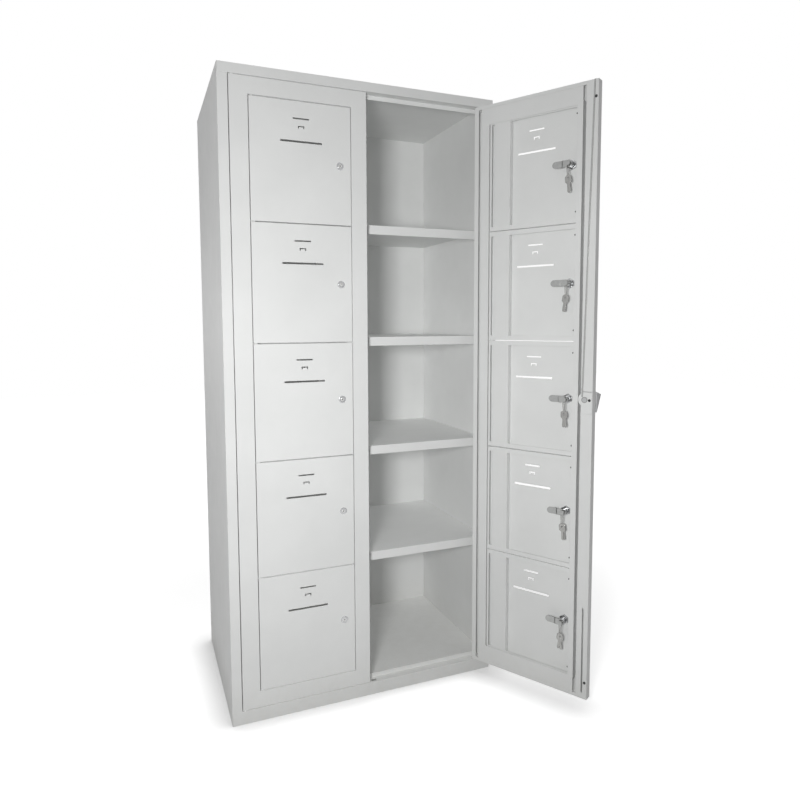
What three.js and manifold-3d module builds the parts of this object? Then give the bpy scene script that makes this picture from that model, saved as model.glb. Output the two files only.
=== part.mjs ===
// Two-leaf steel mail locker: ten lockable letter-box doors in two master doors over shelved compartments.
// Millimetres, +Z up. Origin at the middle of the base, the front faces -Y.
import * as THREE from "three";
import { mergeVertices } from "three/addons/utils/BufferGeometryUtils.js";
import Module from "manifold-3d";

const wasm = await Module();
wasm.setup();

// Cabinet
const CABINET_WIDTH = 820;
const CABINET_DEPTH = 530;
const CABINET_HEIGHT = 1800;
const TIERS = 5;
const BODY_SHEET = 1.2;
const SEAM = 0.3;
const LAP = 0.1;
const STILE_WIDTH = 27;
const TOP_RAIL = 26;
const BOTTOM_RAIL = 38;
const STOP_LIP = 12;
const STOP_CLEARANCE = 2.7;
const BACK_INSET = 34;
const REAR_FLANGE = 25;
const FOOT_FLANGE = 20;
const STIFFENER_WIDTH = 60;
const PARTITION_WIDTH = 32;
const PARTITION_SETBACK = 42;
const PARTITION_RETURN = 10;
const SHELF_SETBACK = 40;
const SHELF_LIP = 26;
const SHELF_EDGE = 18;

// Master doors (leaves)
const LEAF_SHEET = 1.2;
const LEAF_DEPTH = 24.5;
const LEAF_GAP = 2.5;
const MEETING_GAP = 2;
const LEFT_REST_DEG = 0;
const RIGHT_REST_DEG = 120;
const HINGE_RETURN = 14.5;
const FREE_RETURN = 33;
const END_RETURN = 10;
const LEAF_PIN_INSET = 9;
const LEAF_PIN_DEPTH = 6;
const LEAF_PIN_RADIUS = 3.5;
const LEAF_PIN_REACH = 12;
const LEAF_PIN_SHOULDER = 6;
const PIN_CLEARANCE = 0.3;
const WINDOW_FOLD = 12;
const FRAME_SHEET = 1.5;
const FRAME_INSET = 23.5;
const FRAME_LIP = 11.5;

// Field of small doors in a leaf
const FIELD_HINGE_MARGIN = 50;
const FIELD_LOCK_MARGIN = 46;
const FIELD_END_MARGIN = 47;
const DOOR_SIDE_GAP = 2.2;
const DOOR_LEVEL_GAP = 3.2;
const DOOR_SHEET = 1;
const DOOR_DEPTH = 20;
const DOOR_RETURN = 13;
const DOOR_HINGE_BOX = 66;
const DOOR_HINGE_BOX_GAP = 3;
const DOOR_HINGE_SLOT_INSET = 6;
const DOOR_HINGE_SLOT = 9.5;
const DOOR_PIN_INSET = 8;
const DOOR_PIN_DEPTH = 5;
const DOOR_PIN_RADIUS = 2.5;
const DOOR_PIN_REACH = 8;
const TONGUE_LENGTH = 14;
const TONGUE_DEPTH = 10;
const TONGUE_THICKNESS = 2;
const LABEL_SLOT_WIDTH = 46;
const LABEL_SLOT_HEIGHT = 3.8;
const LABEL_SLOT_DROP = 45.5;
const LABEL_RECESS_HEIGHT = 27;
const LABEL_RECESS_DEPTH = 0.4;
const TAB_WIDTH = 18;
const TAB_DROP = 64.5;
const TAB_LEG = 7.5;
const TAB_CUT = 2.8;
const LETTER_SLOT_WIDTH = 116;
const LETTER_SLOT_HEIGHT = 5;
const LETTER_SLOT_DROP = 106.5;

// Cam locks and keys
const LOCK_INSET = 33;
const LOCK_HEAD_RADIUS = 10.25;
const LOCK_HEAD_PROUD = 2.5;
const BARREL_RADIUS = 9;
const BARREL_CLEARANCE = 0.3;
const NUT_RADIUS = 14;
const NUT_THICKNESS = 7.5;
const PLUG_RADIUS = 5.2;
const PLUG_CLEARANCE = 0.3;
const KEYWAY_WIDTH = 1.8;
const KEYWAY_HEIGHT = 7.5;
const KEYWAY_DEPTH = 8;
const CAM_WIDTH = 18.5;
const CAM_LENGTH = 48;
const CAM_SHEET = 2;
const CAM_STEP = 2.5;
const CAM_STEP_START = 15.5;
const CAM_STEP_END = 19.5;
const CAM_PLAY = 0.5;
const CAM_LIP_PLAY = 1.2;
const STUB_RADIUS = 3;
const STUB_LENGTH = 4.5;
const SCREW_HEAD_RADIUS = 6.5;
const SCREW_HEAD_THICKNESS = 1.6;
const KEY_LOOP_CLEARANCE = 0.3;
const KEY_LOOP_WIRE = 1.9;
const KEY_LOOP_LENGTH = 30.7;
const KEY_LOOP_NOSE = 1.2;
const KEY_LOOP_LIFT = 0.7;
const KEY_SHEET = 1.6;
const KEY_FAN_DEG = [
  [-3, -9],
  [9, 3],
  [2, -8],
  [-9, -4],
  [7, -5],
];
const KEY_BOW_WIDTH = 18;
const KEY_BOW_TOP = 32;
const KEY_BOW_HEIGHT = 24;
const KEY_BOW_CORNER = 5;
const KEY_HOLE_RADIUS = 2.6;
const KEY_HOLE_DROP = 9;
const KEY_BLADE_WIDTH = 6.5;
const KEY_LENGTH = 81;

// Handle and rods of the right leaf
const HANDLE_LEVEL = 908;
const HANDLE_INSET = 22;
const HANDLE_WIDTH = 48;
const HANDLE_ABOVE = 14;
const HANDLE_BELOW = 37;
const HANDLE_PROUD = 36;
const HANDLE_TOE = 7;
const HANDLE_STANDOFF = 3.5;
const HANDLE_CHAMFER = 3;
const HANDLE_TOP_FALL = 8;
const HANDLE_NECK_LAP = 1.3;
const HANDLE_NECK_RADIUS = 11;
const SPINDLE_RADIUS = 6;
const SPINDLE_CLEARANCE = 0.3;
const CRANK_RADIUS = 11;
const CRANK_DISC_RADIUS = 14;
const CRANK_START = 4;
const CRANK_THICKNESS = 3;
const HUB_NECK_RADIUS = 7;
const HUB_DISC_RADIUS = 8.5;
const HUB_DISC_THICKNESS = 3;
const LOCK_PLATE_BELOW = 40;
const LOCK_PLATE_ABOVE = 21;
const LOCK_PLATE_TOP_GAP = 2.6;
const LOCK_PLATE_BULGE = 19.5;
const ROD_SIZE = 7;
const ROD_DEPTH = 12;
const ROD_GUIDE_CLEARANCE = 0.5;
const ROD_BOTTOM_INSET = 14;
const ROD_LAP = 5;
const ROD_SETBACK = 0.2;
const ROD_SLOT_SIDE = 4;
const ROD_SLOT_FRONT = 1.5;
const ROD_WINDOW_INSET = 13;
const ROD_WINDOW_WIDTH = 4.2;
const ROD_WINDOW_BOTTOM = 18;
const ROD_WINDOW_HEIGHT = 250;
const BAR_WIDTH = 4.6;
const BAR_THICKNESS = 1.4;
const BAR_TOP_INSET = 10;
const BAR_HUB_INSET = 29;
const BAR_HUB_RISE = 8;
const BAR_SLOT_PLAY = 0.6;

// Derived planes and levels
const HALF_WIDTH = CABINET_WIDTH / 2;
const FRONT = -CABINET_DEPTH / 2;
const REAR = CABINET_DEPTH / 2;
const BACK_FACE = REAR - BACK_INSET;
const REBATE = LEAF_DEPTH + STOP_CLEARANCE;
const INNER_HALF = HALF_WIDTH - BODY_SHEET - SEAM;
const OPENING_HALF = HALF_WIDTH - STILE_WIDTH;
const RAIL_UNDERSIDE = CABINET_HEIGHT - TOP_RAIL;
const LEAF_WIDTH = OPENING_HALF - LEAF_GAP - MEETING_GAP / 2;
const LEAF_BOTTOM = BOTTOM_RAIL + LEAF_GAP;
const LEAF_TOP = RAIL_UNDERSIDE - LEAF_GAP;
const FIELD_BOTTOM = LEAF_BOTTOM + FIELD_END_MARGIN;
const FIELD_TOP = LEAF_TOP - FIELD_END_MARGIN;
const PITCH = (FIELD_TOP - FIELD_BOTTOM) / TIERS;
const WINDOW_START = FIELD_HINGE_MARGIN - DOOR_SIDE_GAP / 2;
const WINDOW_END = LEAF_WIDTH - FIELD_LOCK_MARGIN + DOOR_SIDE_GAP / 2;
const DOOR_START = FIELD_HINGE_MARGIN + DOOR_SIDE_GAP / 2;
const DOOR_END = LEAF_WIDTH - FIELD_LOCK_MARGIN - DOOR_SIDE_GAP / 2;
const DOOR_MIDDLE = (DOOR_START + DOOR_END) / 2;
const DOOR_PIN = DOOR_START + DOOR_PIN_INSET;
const FRAME_STILE_END = WINDOW_START - LEAF_SHEET - SEAM;
const FRAME_END = WINDOW_END + LEAF_SHEET + SEAM + FRAME_SHEET;
const LOCK_AXIS = LEAF_WIDTH - FIELD_LOCK_MARGIN - LOCK_INSET;
const CAM_TIP_START = LEAF_DEPTH + CAM_LIP_PLAY;
const CAM_START = CAM_TIP_START + CAM_STEP;
const BARREL_END = CAM_START - CAM_PLAY;
const STUB_START = CAM_START + CAM_SHEET;
const HANDLE_AXIS = LEAF_WIDTH - HANDLE_INSET;
const HUB_DISC_START = LEAF_DEPTH + 2 * SEAM;
const SPINDLE_END = HUB_DISC_START + HUB_DISC_THICKNESS;
const LOCK_PLATE_BOTTOM = HANDLE_LEVEL - LOCK_PLATE_BELOW;
const LOCK_PLATE_TOP = HANDLE_LEVEL + LOCK_PLATE_ABOVE;
const BAR_START = LEAF_DEPTH + SEAM;
const BAR_END = BAR_START + BAR_THICKNESS;

// Facets of round shapes, and how far a cutting shape stands past the face it cuts
const ROUND_SIDES = 16;
const PIN_SIDES = 12;
const NUT_SIDES = 6;
const CURVE_SEGMENTS = 8;
const CUT_OVER = 1;

// Colours
const PAINT = { color: 0xd8d9d7, roughness: 0.5, metalness: 0.1 };
const CHROME = { color: 0xc9cbcd, roughness: 0.2, metalness: 1.0 };
const ZINC = { color: 0x9a9b9c, roughness: 0.35, metalness: 1.0 };
const PLASTIC = { color: 0xb4b5b6, roughness: 0.5, metalness: 0.0 };

// Shapes as solids for joining and cutting; corners sit on a fine grid, so faces that should meet do.
const GRID_PER_MM = 256;
const MERGE_TOLERANCE = 1e-4;

function toSolid(geometry) {
  geometry.deleteAttribute("normal");
  geometry.deleteAttribute("uv");
  const corners = geometry.attributes.position.array;
  corners.forEach((value, index) => {
    corners[index] = Math.round(value * GRID_PER_MM) / GRID_PER_MM;
  });
  const merged = mergeVertices(geometry, MERGE_TOLERANCE);
  return new wasm.Manifold(
    new wasm.Mesh({
      numProp: 3,
      vertProperties: new Float32Array(merged.attributes.position.array),
      triVerts: new Uint32Array(merged.index.array),
    }),
  );
}

function toGeometry(solid) {
  const mesh = solid.getMesh();
  const geometry = new THREE.BufferGeometry();
  geometry.setAttribute("position", new THREE.BufferAttribute(new Float32Array(mesh.vertProperties), 3));
  geometry.setIndex(new THREE.BufferAttribute(new Uint32Array(mesh.triVerts), 1));
  geometry.computeVertexNormals();
  return geometry;
}

function join(solids) {
  return solids.reduce((whole, solid) => whole.add(solid));
}

function cut(solid, tools) {
  return tools.reduce((whole, tool) => whole.subtract(tool), solid);
}

function block(x0, x1, y0, y1, z0, z1) {
  const geometry = new THREE.BoxGeometry(Math.abs(x1 - x0), y1 - y0, z1 - z0);
  geometry.translate((x0 + x1) / 2, (y0 + y1) / 2, (z0 + z1) / 2);
  return toSolid(geometry);
}

function uprightCylinder(x, y, radius, z0, z1, sides) {
  const geometry = new THREE.CylinderGeometry(radius, radius, z1 - z0, sides);
  geometry.rotateX(Math.PI / 2);
  geometry.translate(x, y, (z0 + z1) / 2);
  return toSolid(geometry);
}

function deepCylinder(x, z, radius, y0, y1, sides) {
  const geometry = new THREE.CylinderGeometry(radius, radius, y1 - y0, sides);
  geometry.translate(x, (y0 + y1) / 2, z);
  return toSolid(geometry);
}

// An outline in the X-Z plane, drawn out along Y.
function deepExtrusion(shape, y0, y1) {
  const options = { depth: y1 - y0, bevelEnabled: false, curveSegments: CURVE_SEGMENTS };
  const geometry = new THREE.ExtrudeGeometry(shape, options);
  geometry.rotateX(Math.PI / 2);
  geometry.translate(0, y1, 0);
  return toSolid(geometry);
}

// An outline in the Y-Z plane, drawn out along X.
function sideExtrusion(points, x0, x1) {
  const shape = new THREE.Shape(points.map(([y, z]) => new THREE.Vector2(y, z)));
  const geometry = new THREE.ExtrudeGeometry(shape, { depth: x1 - x0, bevelEnabled: false });
  const turn = new THREE.Matrix4().makeBasis(
    new THREE.Vector3(0, 1, 0),
    new THREE.Vector3(0, 0, 1),
    new THREE.Vector3(1, 0, 0),
  );
  geometry.applyMatrix4(turn);
  geometry.translate(x0, 0, 0);
  return toSolid(geometry);
}

// An outline in the X-Y plane, drawn out along Z.
function uprightExtrusion(points, z0, z1) {
  const shape = new THREE.Shape(points.map(([x, y]) => new THREE.Vector2(x, y)));
  const geometry = new THREE.ExtrudeGeometry(shape, { depth: z1 - z0, bevelEnabled: false });
  geometry.translate(0, 0, z0);
  return toSolid(geometry);
}

// A slot with round ends in the X-Z plane, from one end's centre to the other's.
function roundEnded(path, x0, z0, x1, z1, radius) {
  const along = Math.atan2(z1 - z0, x1 - x0);
  path.absarc(x1, z1, radius, along - Math.PI / 2, along + Math.PI / 2, false);
  path.absarc(x0, z0, radius, along + Math.PI / 2, along + 1.5 * Math.PI, false);
  path.closePath();
  return path;
}

// A drop-shaped outline in the X-Z plane: a wide upper and a narrow lower round, joined by straight flanks.
function drop(path, x, upper, upperRadius, lower, lowerRadius) {
  const lean = Math.asin((upperRadius - lowerRadius) / (upper - lower));
  path.absarc(x, upper, upperRadius, -lean, Math.PI + lean, false);
  path.absarc(x, lower, lowerRadius, Math.PI + lean, 2 * Math.PI - lean, false);
  path.closePath();
  return path;
}

const cabinet = new THREE.Group();
cabinet.name = "mail_locker";

function addMesh(group, name, solid, look) {
  const mesh = new THREE.Mesh(toGeometry(solid), new THREE.MeshStandardMaterial(look));
  mesh.name = name;
  group.add(mesh);
}

// A leaf knows which way its hinge lies; lengths run from its hinge edge, depths from its front face.
function makeLeaf(label, side, restDeg) {
  const hingeEdge = side * (OPENING_HALF - LEAF_GAP);
  const pinX = hingeEdge - side * LEAF_PIN_INSET;
  const pinY = FRONT + LEAF_PIN_DEPTH;
  const group = new THREE.Group();
  group.name = `leaf_${label}`;
  group.position.set(pinX, pinY, 0);
  group.rotation.z = side * THREE.MathUtils.degToRad(restDeg);
  cabinet.add(group);
  const x = (along) => hingeEdge - side * along;
  const y = (depth) => FRONT + depth;
  return { label, side, pinX, pinY, group, x, y };
}

const LEAVES = [makeLeaf("left", -1, LEFT_REST_DEG), makeLeaf("right", 1, RIGHT_REST_DEG)];

function leafBlock(leaf, s0, s1, d0, d1, z0, z1) {
  return block(leaf.x(s0), leaf.x(s1), leaf.y(d0), leaf.y(d1), z0, z1);
}

function leafPin(leaf, s, d, radius, z0, z1) {
  return uprightCylinder(leaf.x(s), leaf.y(d), radius, z0, z1, PIN_SIDES);
}

function leafRound(leaf, s, z, radius, d0, d1, sides = ROUND_SIDES) {
  return deepCylinder(leaf.x(s), z, radius, leaf.y(d0), leaf.y(d1), sides);
}

function addToLeaf(leaf, name, solid, look) {
  const mesh = new THREE.Mesh(toGeometry(solid), new THREE.MeshStandardMaterial(look));
  mesh.geometry.translate(-leaf.pinX, -leaf.pinY, 0);
  mesh.name = name;
  leaf.group.add(mesh);
}

// Slot in a rail for the bar or rod of the right leaf.
function railSlot(inset, width, d0, d1, z0, z1) {
  const middle = MEETING_GAP / 2 + inset;
  const half = width / 2 + ROD_SLOT_SIDE;
  return block(middle - half, middle + half, FRONT + d0, FRONT + d1, z0, z1);
}

// Carcass
function sidePanel(side) {
  const inward = (from, to, y0, y1, z0, z1) => {
    const outer = side * (HALF_WIDTH - from);
    const inner = side * (HALF_WIDTH - to);
    return block(outer, inner, y0, y1, z0, z1);
  };
  const stileBottom = BOTTOM_RAIL + SEAM;
  const stileTop = RAIL_UNDERSIDE - SEAM;
  const stileReturn = STILE_WIDTH - BODY_SHEET;
  return join([
    inward(0, BODY_SHEET, FRONT + LAP, REAR - LAP, LAP, CABINET_HEIGHT - LAP),
    inward(LAP, STILE_WIDTH - LAP, FRONT, FRONT + BODY_SHEET, stileBottom, stileTop),
    inward(stileReturn, STILE_WIDTH, FRONT + LAP, FRONT + REBATE - SEAM, stileBottom + LAP, stileTop - LAP),
    inward(LAP, REAR_FLANGE, REAR - BODY_SHEET, REAR, 2 * LAP, CABINET_HEIGHT - 2 * LAP),
    inward(2 * LAP, FOOT_FLANGE, FRONT + BODY_SHEET + SEAM, REAR - 2 * LAP, 0, BODY_SHEET),
  ]);
}

function topPanel() {
  const rear = REAR - BODY_SHEET - SEAM;
  const foldEnd = FRONT + REBATE + BODY_SHEET;
  const sheet = [
    [rear, CABINET_HEIGHT],
    [FRONT, CABINET_HEIGHT],
    [FRONT, RAIL_UNDERSIDE],
    [foldEnd - LAP, RAIL_UNDERSIDE],
    [foldEnd - LAP, RAIL_UNDERSIDE + BODY_SHEET],
    [FRONT + BODY_SHEET, RAIL_UNDERSIDE + BODY_SHEET],
    [FRONT + BODY_SHEET, CABINET_HEIGHT - BODY_SHEET],
    [rear, CABINET_HEIGHT - BODY_SHEET],
  ];
  const lipBottom = RAIL_UNDERSIDE - STOP_LIP;
  const plate = join([
    sideExtrusion(sheet, -INNER_HALF, INNER_HALF),
    block(-OPENING_HALF, OPENING_HALF, FRONT + REBATE, foldEnd, lipBottom, RAIL_UNDERSIDE + BODY_SHEET / 2),
  ]);
  const pins = LEAVES.map((leaf) =>
    leafPin(
      leaf,
      LEAF_PIN_INSET,
      LEAF_PIN_DEPTH,
      LEAF_PIN_RADIUS,
      LEAF_TOP - LEAF_PIN_REACH,
      RAIL_UNDERSIDE + BODY_SHEET / 2,
    ),
  );
  const slotFront = BAR_START - BAR_SLOT_PLAY;
  const slotRear = BAR_END + BAR_SLOT_PLAY;
  const slotBottom = RAIL_UNDERSIDE - CUT_OVER;
  const slotTop = RAIL_UNDERSIDE + BODY_SHEET + CUT_OVER;
  const slot = railSlot(BAR_TOP_INSET, BAR_WIDTH, slotFront, slotRear, slotBottom, slotTop);
  return join([cut(plate, [slot]), ...pins]);
}

function bottomPanel() {
  const rearFace = BACK_FACE - SEAM;
  const returnHalf = HALF_WIDTH - FOOT_FLANGE - SEAM;
  const flangeBottom = BODY_SHEET + SEAM;
  const sheet = [
    [FRONT, LAP],
    [FRONT, BOTTOM_RAIL],
    [rearFace, BOTTOM_RAIL],
    [rearFace, flangeBottom],
    [rearFace - BODY_SHEET, flangeBottom],
    [rearFace - BODY_SHEET, BOTTOM_RAIL - BODY_SHEET],
    [FRONT + BODY_SHEET, BOTTOM_RAIL - BODY_SHEET],
    [FRONT + BODY_SHEET, LAP],
  ];
  const lipFront = FRONT + REBATE;
  const lipBottom = BOTTOM_RAIL - BODY_SHEET / 2;
  const plate = join([
    sideExtrusion(sheet, -INNER_HALF, INNER_HALF),
    block(-returnHalf, returnHalf, FRONT + LAP, FRONT + FOOT_FLANGE, 0, BODY_SHEET),
    block(-OPENING_HALF, OPENING_HALF, lipFront, lipFront + BODY_SHEET, lipBottom, BOTTOM_RAIL + STOP_LIP),
  ]);
  const pinBottom = BOTTOM_RAIL - BODY_SHEET / 3;
  const pins = LEAVES.flatMap((leaf) => [
    leafPin(leaf, LEAF_PIN_INSET, LEAF_PIN_DEPTH, LEAF_PIN_RADIUS, pinBottom, LEAF_BOTTOM + LEAF_PIN_REACH),
    leafPin(leaf, LEAF_PIN_INSET, LEAF_PIN_DEPTH, LEAF_PIN_SHOULDER, pinBottom - LAP, LEAF_BOTTOM - SEAM),
  ]);
  const slotHalf = ROD_SIZE / 2 + ROD_SLOT_FRONT;
  const slotFront = ROD_DEPTH - slotHalf;
  const slotRear = ROD_DEPTH + slotHalf;
  const slotBottom = BOTTOM_RAIL - BODY_SHEET - CUT_OVER;
  const slotTop = BOTTOM_RAIL + CUT_OVER;
  const slot = railSlot(ROD_BOTTOM_INSET, ROD_SIZE, slotFront, slotRear, slotBottom, slotTop);
  return join([cut(plate, [slot]), ...pins]);
}

function backPanel() {
  const bottom = BODY_SHEET + SEAM;
  const top = CABINET_HEIGHT - BODY_SHEET - SEAM;
  const foldEnd = REAR - BODY_SHEET - SEAM;
  const inner = INNER_HALF - BODY_SHEET;
  const outline = [
    [-INNER_HALF, BACK_FACE],
    [INNER_HALF, BACK_FACE],
    [INNER_HALF, foldEnd],
    [inner, foldEnd],
    [inner, BACK_FACE + BODY_SHEET],
    [-inner, BACK_FACE + BODY_SHEET],
    [-inner, foldEnd],
    [-INNER_HALF, foldEnd],
  ];
  return uprightExtrusion(outline, bottom, top);
}

function centrePartition() {
  const half = PARTITION_WIDTH / 2;
  const front = FRONT + PARTITION_SETBACK;
  const rear = BACK_FACE - SEAM;
  const outline = [
    [-half, front],
    [half, front],
    [half, rear],
    [half - PARTITION_RETURN, rear],
    [half - PARTITION_RETURN, rear - BODY_SHEET],
    [half - BODY_SHEET, rear - BODY_SHEET],
    [half - BODY_SHEET, front + BODY_SHEET],
    [-half + BODY_SHEET, front + BODY_SHEET],
    [-half + BODY_SHEET, rear - BODY_SHEET],
    [-half + PARTITION_RETURN, rear - BODY_SHEET],
    [-half + PARTITION_RETURN, rear],
    [-half, rear],
  ];
  return uprightExtrusion(outline, BOTTOM_RAIL + SEAM, CABINET_HEIGHT - BODY_SHEET - SEAM);
}

function baseStiffener() {
  const half = STIFFENER_WIDTH / 2;
  const front = FRONT + FOOT_FLANGE + SEAM;
  const rear = BACK_FACE - BODY_SHEET - 2 * SEAM;
  const top = BOTTOM_RAIL - BODY_SHEET - SEAM;
  const inner = half - BODY_SHEET;
  const outline = [
    [-half, 0],
    [half, 0],
    [half, top],
    [inner, top],
    [inner, BODY_SHEET],
    [-inner, BODY_SHEET],
    [-inner, top],
    [-half, top],
  ];
  const shape = new THREE.Shape(outline.map(([x, z]) => new THREE.Vector2(x, z)));
  return deepExtrusion(shape, front, rear);
}

function shelf(side, boundary) {
  const inner = PARTITION_WIDTH / 2 + SEAM;
  const front = FRONT + SHELF_SETBACK;
  const rear = BACK_FACE - SEAM;
  const top = boundary + SHELF_LIP / 2;
  const across = (from, to, y0, y1, z0, z1) => block(side * from, side * to, y0, y1, z0, z1);
  const edge = inner + BODY_SHEET;
  const edgeEnd = INNER_HALF - BODY_SHEET;
  const tray = across(inner, INNER_HALF, front + LAP, rear, top - SHELF_EDGE, top);
  const cutBottom = top - 2 * SHELF_EDGE;
  const under = across(edge, edgeEnd, front + BODY_SHEET, rear - BODY_SHEET, cutBottom, top - BODY_SHEET);
  const lipEnd = front + BODY_SHEET - LAP;
  const lip = across(inner + LAP, INNER_HALF - LAP, front, lipEnd, top - SHELF_LIP, top - LAP);
  return join([cut(tray, [under]), lip]);
}

addMesh(cabinet, "side_panel_left", sidePanel(-1), PAINT);
addMesh(cabinet, "side_panel_right", sidePanel(1), PAINT);
addMesh(cabinet, "top_panel", topPanel(), PAINT);
addMesh(cabinet, "bottom_panel", bottomPanel(), PAINT);
addMesh(cabinet, "back_panel", backPanel(), PAINT);
addMesh(cabinet, "centre_partition", centrePartition(), PAINT);
addMesh(cabinet, "base_stiffener", baseStiffener(), PAINT);
for (const leaf of LEAVES) {
  for (let tier = 1; tier < TIERS; tier += 1) {
    addMesh(cabinet, `shelf_${leaf.label}_${tier}`, shelf(leaf.side, FIELD_TOP - tier * PITCH), PAINT);
  }
}

// Leaves
const windowBottom = FIELD_BOTTOM - DOOR_LEVEL_GAP / 2;
const windowTop = FIELD_TOP + DOOR_LEVEL_GAP / 2;

function leafSkin(leaf) {
  const flange = LEAF_DEPTH - LEAF_SHEET;
  const inside = LEAF_WIDTH - LEAF_SHEET;
  const foldBottom = windowBottom - LEAF_SHEET;
  const foldTop = windowTop + LEAF_SHEET;
  const returnEnd = LEAF_WIDTH - FREE_RETURN;
  const returnBottom = LEAF_BOTTOM + END_RETURN;
  const returnTop = LEAF_TOP - END_RETURN;
  const low = LEAF_BOTTOM + LEAF_SHEET;
  const high = LEAF_TOP - LEAF_SHEET;
  const rear = LEAF_DEPTH + CUT_OVER;
  const shell = cut(leafBlock(leaf, 0, LEAF_WIDTH, 0, LEAF_DEPTH, LEAF_BOTTOM, LEAF_TOP), [
    leafBlock(leaf, LEAF_SHEET, inside, LEAF_SHEET, flange, low, high),
    leafBlock(leaf, HINGE_RETURN, returnEnd, LEAF_DEPTH / 2, rear, returnBottom, returnTop),
  ]);
  const foldStart = WINDOW_START - LEAF_SHEET;
  const foldEnd = WINDOW_END + LEAF_SHEET;
  const fold = leafBlock(leaf, foldStart, foldEnd, LEAF_SHEET / 2, WINDOW_FOLD, foldBottom, foldTop);
  const pan = shell.add(fold);
  const holeRadius = LEAF_PIN_RADIUS + PIN_CLEARANCE;
  const pinHole = (z0, z1) => leafPin(leaf, LEAF_PIN_INSET, LEAF_PIN_DEPTH, holeRadius, z0, z1);
  const openings = [
    leafBlock(leaf, WINDOW_START, WINDOW_END, -CUT_OVER, WINDOW_FOLD + CUT_OVER, windowBottom, windowTop),
    pinHole(LEAF_TOP - 2 * LEAF_SHEET, LEAF_TOP + CUT_OVER),
    pinHole(LEAF_BOTTOM - CUT_OVER, LEAF_BOTTOM + 2 * LEAF_SHEET),
  ];
  if (leaf.label === "right") {
    openings.push(...lockOpenings(leaf));
  }
  return join([cut(pan, openings), ...doorPins(leaf)]);
}

// Room in the right leaf for the spindle, the lock plate and the lower rod, and a window to reach that rod.
function lockOpenings(leaf) {
  const rear = LEAF_DEPTH + CUT_OVER;
  const spindle = SPINDLE_RADIUS + SPINDLE_CLEARANCE;
  const plateBottom = LOCK_PLATE_BOTTOM - SEAM;
  const plateTop = LOCK_PLATE_TOP + LOCK_PLATE_TOP_GAP;
  const returnStart = LEAF_WIDTH - FREE_RETURN - CUT_OVER;
  const half = ROD_SIZE / 2 + ROD_GUIDE_CLEARANCE;
  const rodEnd = LEAF_WIDTH - ROD_BOTTOM_INSET;
  const guideLow = LEAF_BOTTOM - CUT_OVER;
  const guideTop = LEAF_BOTTOM + 2 * LEAF_SHEET;
  const windowEnd = LEAF_WIDTH - ROD_WINDOW_INSET;
  const windowLow = LEAF_BOTTOM + ROD_WINDOW_BOTTOM;
  const windowHigh = windowLow + ROD_WINDOW_HEIGHT;
  return [
    leafRound(leaf, HANDLE_AXIS, HANDLE_LEVEL, spindle, -CUT_OVER, 2 * LEAF_SHEET),
    leafBlock(leaf, returnStart, LEAF_WIDTH - LEAF_SHEET, LEAF_DEPTH / 2, rear, plateBottom, plateTop),
    leafBlock(leaf, rodEnd - half, rodEnd + half, ROD_DEPTH - half, ROD_DEPTH + half, guideLow, guideTop),
    leafBlock(leaf, windowEnd - ROD_WINDOW_WIDTH, windowEnd, LEAF_DEPTH / 2, rear, windowLow, windowHigh),
  ];
}

// Tongues between the small doors, with the pins that the doors turn on.
function doorPins(leaf) {
  const reach = DOOR_LEVEL_GAP / 2 + DOOR_PIN_REACH;
  const half = TONGUE_THICKNESS / 2;
  const solids = [];
  for (let boundary = 0; boundary <= TIERS; boundary += 1) {
    const z = FIELD_TOP - boundary * PITCH;
    const low = boundary === TIERS ? windowBottom - LEAF_SHEET / 2 : z - reach;
    const high = boundary === 0 ? windowTop + LEAF_SHEET / 2 : z + reach;
    solids.push(leafPin(leaf, DOOR_PIN, DOOR_PIN_DEPTH, DOOR_PIN_RADIUS, low, high));
    if (boundary > 0 && boundary < TIERS) {
      const start = WINDOW_START - LEAF_SHEET / 2;
      const end = WINDOW_START + TONGUE_LENGTH;
      solids.push(leafBlock(leaf, start, end, LAP, TONGUE_DEPTH, z - half, z + half));
    }
  }
  return solids;
}

function innerFrame(leaf) {
  const face = LEAF_DEPTH - FRAME_SHEET;
  const start = LEAF_SHEET + SEAM;
  const ringBottom = LEAF_BOTTOM + END_RETURN + SEAM;
  const ringTop = LEAF_TOP - END_RETURN - SEAM;
  const lipEnd = LEAF_WIDTH - FIELD_LOCK_MARGIN - FRAME_LIP;
  const lipBottom = FIELD_BOTTOM + FRAME_LIP;
  const lipTop = FIELD_TOP - FRAME_LIP;
  const ring = cut(leafBlock(leaf, FRAME_INSET, FRAME_END, face, LEAF_DEPTH, ringBottom, ringTop), [
    leafBlock(leaf, FIELD_HINGE_MARGIN, lipEnd, 0, LEAF_DEPTH + CUT_OVER, lipBottom, lipTop),
  ]);
  const webEnd = LEAF_DEPTH - FRAME_SHEET / 2;
  const web = (s0, s1) => leafBlock(leaf, s0, s1, start, webEnd, FIELD_BOTTOM, FIELD_TOP);
  return join([
    ring,
    web(FRAME_INSET + LAP, FRAME_INSET + FRAME_SHEET),
    web(FRAME_STILE_END - FRAME_SHEET, FRAME_STILE_END - LAP),
    web(FRAME_END - FRAME_SHEET, FRAME_END - LAP),
  ]);
}

// Small doors
function doorTop(tier) {
  return FIELD_TOP - (tier - 1) * PITCH - DOOR_LEVEL_GAP / 2;
}

function doorBottom(tier) {
  return FIELD_TOP - tier * PITCH + DOOR_LEVEL_GAP / 2;
}

function lockLevel(tier) {
  return (doorTop(tier) + doorBottom(tier)) / 2;
}

function slotCut(leaf, width, height, level) {
  const half = width / 2;
  const low = level - height / 2;
  const high = level + height / 2;
  return leafBlock(leaf, DOOR_MIDDLE - half, DOOR_MIDDLE + half, -CUT_OVER, 2 * DOOR_SHEET, low, high);
}

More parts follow.
